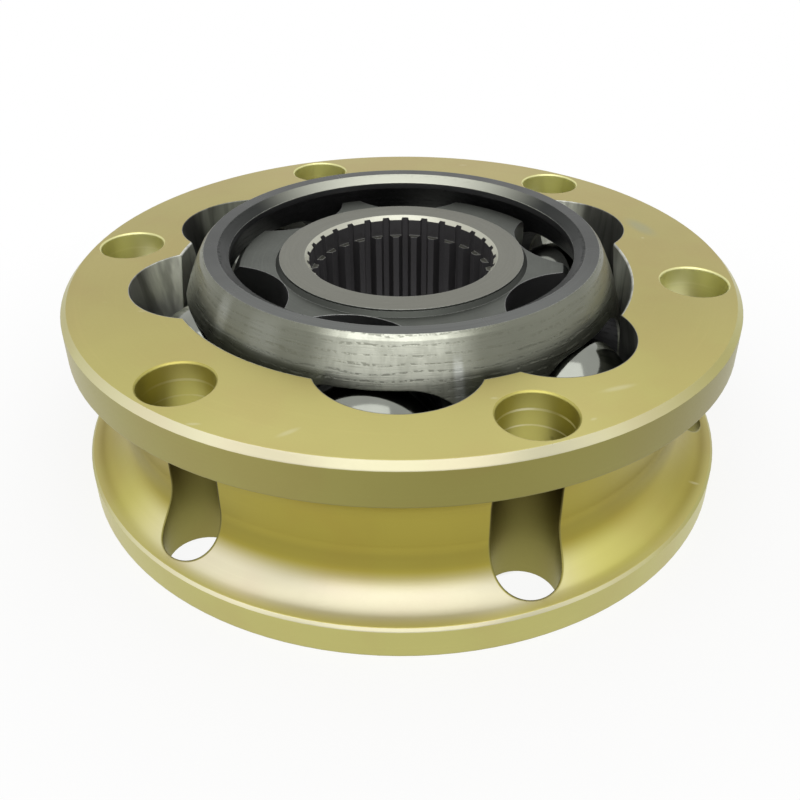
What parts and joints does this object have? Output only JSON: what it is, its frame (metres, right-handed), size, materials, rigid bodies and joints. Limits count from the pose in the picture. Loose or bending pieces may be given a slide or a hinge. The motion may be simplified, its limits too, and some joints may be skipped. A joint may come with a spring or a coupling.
{
  "type": "cv joint",
  "caption": "Plunging constant velocity joint with a spool-shaped outer race, balls in crossed tracks, a windowed cage and a splined inner race.",
  "frame": {"origin": "centre of the outer race's lower face, on its axis", "axes": "+Z along the outer race's axis towards the side where the inner race stands out; X is the axis of articulation"},
  "size_m": [0.108, 0.108, 0.0366],
  "materials": {
    "gold_coated_steel": "satin gold plated steel, bare ground bore and tracks",
    "cage_steel": "turned and hardened steel",
    "inner_steel": "dark hardened steel with a ground hub ring",
    "ball_steel": "polished bearing steel"
  },
  "bodies": {
    "outer_race": {"outer_race": "gold_coated_steel"},
    "ball_cage": {"ball_cage": "cage_steel"},
    "inner_race": {"inner_race": "inner_steel"},
    "ball_1": {"ball_1": "ball_steel"},
    "ball_2": {"ball_2": "ball_steel"},
    "ball_3": {"ball_3": "ball_steel"},
    "ball_4": {"ball_4": "ball_steel"},
    "ball_5": {"ball_5": "ball_steel"},
    "ball_6": {"ball_6": "ball_steel"}
  },
  "joints": [
    {"name": "articulation", "type": "hinge", "parent": "outer_race", "child": "inner_race", "pos_m": [0, 0, 0.0183], "axis": [1, 0, 0], "range_deg": [-20, 20]},
    {"name": "cage_tilt", "type": "hinge", "parent": "outer_race", "child": "ball_cage", "pos_m": [0, 0, 0.0183], "axis": [1, 0, 0], "range_deg": [-10, 10]},
    {"name": "ball_1_travel", "type": "slide", "parent": "outer_race", "child": "ball_1", "axis": [0.2721, -0.0441, 0.9613], "range_m": [-0.00576, 0.00576]},
    {"name": "ball_2_travel", "type": "slide", "parent": "outer_race", "child": "ball_2", "axis": [-0.1742, -0.2136, 0.9613], "range_m": [-0.00377, 0.00377]},
    {"name": "ball_3_travel", "type": "slide", "parent": "outer_race", "child": "ball_3", "axis": [-0.0979, 0.2577, 0.9613], "range_m": [-0.00218, 0.00218]},
    {"name": "ball_4_travel", "type": "slide", "parent": "outer_race", "child": "ball_4", "axis": [0.2721, -0.0441, 0.9613], "range_m": [-0.00572, 0.00572]},
    {"name": "ball_5_travel", "type": "slide", "parent": "outer_race", "child": "ball_5", "axis": [-0.1742, -0.2136, 0.9613], "range_m": [-0.00358, 0.00358]},
    {"name": "ball_6_travel", "type": "slide", "parent": "outer_race", "child": "ball_6", "axis": [-0.0979, 0.2577, 0.9613], "range_m": [-0.00196, 0.00196]}
  ],
  "couplings": [
    {"joint": "cage_tilt", "follows": "articulation", "ratio": 0.5},
    {"joint": "ball_1_travel", "follows": "articulation", "m_per_rad": -0.016486},
    {"joint": "ball_2_travel", "follows": "articulation", "m_per_rad": -0.010786},
    {"joint": "ball_3_travel", "follows": "articulation", "m_per_rad": 0.0062314},
    {"joint": "ball_4_travel", "follows": "articulation", "m_per_rad": 0.016376},
    {"joint": "ball_5_travel", "follows": "articulation", "m_per_rad": 0.010254},
    {"joint": "ball_6_travel", "follows": "articulation", "m_per_rad": -0.00559}
  ]
}
